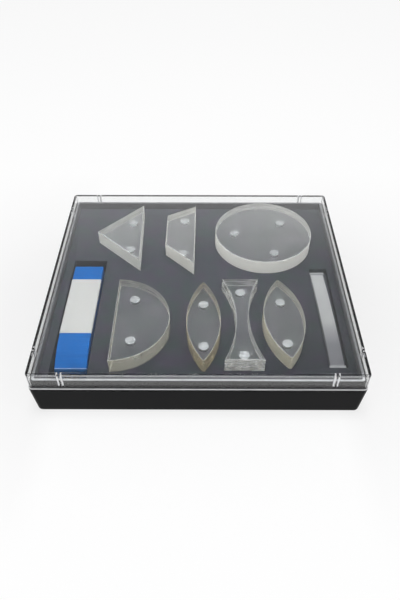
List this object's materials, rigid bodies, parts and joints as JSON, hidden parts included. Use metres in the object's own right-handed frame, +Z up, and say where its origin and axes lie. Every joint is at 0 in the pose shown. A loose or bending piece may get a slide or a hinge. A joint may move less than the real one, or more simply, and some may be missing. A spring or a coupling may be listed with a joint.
{
  "type": "boxed optics set with ray lamp",
  "caption": "Flat black case with a clear lift-off lid and a foam insert that holds clear acrylic optical blocks, a mirror strip and a slim ray lamp.",
  "frame": {"origin": "middle of the case's footprint, on the surface it stands on", "axes": "+X to the right along the case's long side, +Y away from the viewer towards the row with the disc, +Z up through the lid"},
  "size_m": [0.2556, 0.2324, 0.0476],
  "materials": {
    "case_black": "moulded satin black",
    "lid_clear": "clear, polished",
    "foam": "closed-cell foam, matt charcoal",
    "acrylic": "clear cast acrylic, polished faces",
    "magnet": "nickel plated",
    "mirror_carrier": "clear, bevelled edges",
    "mirror_film": "silvered",
    "lamp_blue": "moulded satin blue",
    "label": "blank white film, satin",
    "screw_steel": "zinc plated",
    "cell_jacket": "plain printed jacket",
    "contact": "nickel plated",
    "board": "green resist",
    "switch": "black",
    "button": "moulded dark grey",
    "led": "water-clear epoxy",
    "lamp_lens": "clear, polished",
    "slit_plate": "black"
  },
  "bodies": {
    "base": {"base_tray": "case_black", "foam_insert": "foam"},
    "lid": {"clear_lid": "lid_clear"},
    "triangle": {"triangle_prism": "acrylic", "triangle_prism_magnets": "magnet"},
    "trapezoid": {"trapezoid_prism": "acrylic", "trapezoid_prism_magnets": "magnet"},
    "disc": {"round_disc": "acrylic", "round_disc_magnets": "magnet"},
    "semicircle": {"semicircle_lens": "acrylic", "semicircle_lens_magnets": "magnet"},
    "thin_biconvex": {"thin_biconvex_lens": "acrylic", "thin_biconvex_lens_magnets": "magnet"},
    "biconcave": {"biconcave_lens": "acrylic", "biconcave_lens_magnets": "magnet"},
    "thick_biconvex": {"thick_biconvex_lens": "acrylic", "thick_biconvex_lens_magnets": "magnet"},
    "mirror": {"mirror_carrier": "mirror_carrier", "mirror_film": "mirror_film"},
    "lamp": {"lamp_top_shell": "lamp_blue", "lamp_bottom_shell": "lamp_blue", "lamp_label": "label", "lamp_battery_cover": "lamp_blue", "lamp_cells": "cell_jacket", "lamp_bridge_contact": "contact", "lamp_contact_tabs": "contact", "lamp_contact_springs": "contact", "lamp_circuit_board": "board", "lamp_tact_switch": "switch", "lamp_led": "led", "lamp_collimating_lens": "lamp_lens", "lamp_slit_plate": "slit_plate", "lamp_cover_screws": "screw_steel", "lamp_shell_screws": "screw_steel"},
    "lamp_button": {"lamp_power_button": "button", "lamp_switch_plunger": "switch"}
  },
  "joints": [
    {"name": "lid_lift", "type": "slide", "parent": "base", "child": "lid", "axis": [0, 0, 1], "range_m": [0, 0.12]},
    {"name": "triangle_lift", "type": "slide", "parent": "base", "child": "triangle", "axis": [0, 0, 1], "range_m": [0, 0.06]},
    {"name": "trapezoid_lift", "type": "slide", "parent": "base", "child": "trapezoid", "axis": [0, 0, 1], "range_m": [0, 0.06]},
    {"name": "disc_lift", "type": "slide", "parent": "base", "child": "disc", "axis": [0, 0, 1], "range_m": [0, 0.06]},
    {"name": "semicircle_lift", "type": "slide", "parent": "base", "child": "semicircle", "axis": [0, 0, 1], "range_m": [0, 0.06]},
    {"name": "thin_biconvex_lift", "type": "slide", "parent": "base", "child": "thin_biconvex", "axis": [0, 0, 1], "range_m": [0, 0.06]},
    {"name": "biconcave_lift", "type": "slide", "parent": "base", "child": "biconcave", "axis": [0, 0, 1], "range_m": [0, 0.06]},
    {"name": "thick_biconvex_lift", "type": "slide", "parent": "base", "child": "thick_biconvex", "axis": [0, 0, 1], "range_m": [0, 0.06]},
    {"name": "mirror_lift", "type": "slide", "parent": "base", "child": "mirror", "axis": [0, 0, 1], "range_m": [0, 0.06]},
    {"name": "lamp_lift", "type": "slide", "parent": "base", "child": "lamp", "axis": [0, 0, 1], "range_m": [0, 0.06]},
    {"name": "lamp_button_press", "type": "slide", "parent": "lamp", "child": "lamp_button", "axis": [0, -1, 0], "range_m": [0, 0.0008], "stiffness_N_per_m": 300}
  ],
  "couplings": [
    {"joint": "triangle_lift", "follows": "lid_lift", "ratio": 0.5},
    {"joint": "trapezoid_lift", "follows": "lid_lift", "ratio": 0.5},
    {"joint": "disc_lift", "follows": "lid_lift", "ratio": 0.5},
    {"joint": "semicircle_lift", "follows": "lid_lift", "ratio": 0.5},
    {"joint": "thin_biconvex_lift", "follows": "lid_lift", "ratio": 0.5},
    {"joint": "biconcave_lift", "follows": "lid_lift", "ratio": 0.5},
    {"joint": "thick_biconvex_lift", "follows": "lid_lift", "ratio": 0.5},
    {"joint": "mirror_lift", "follows": "lid_lift", "ratio": 0.5},
    {"joint": "lamp_lift", "follows": "lid_lift", "ratio": 0.5}
  ]
}
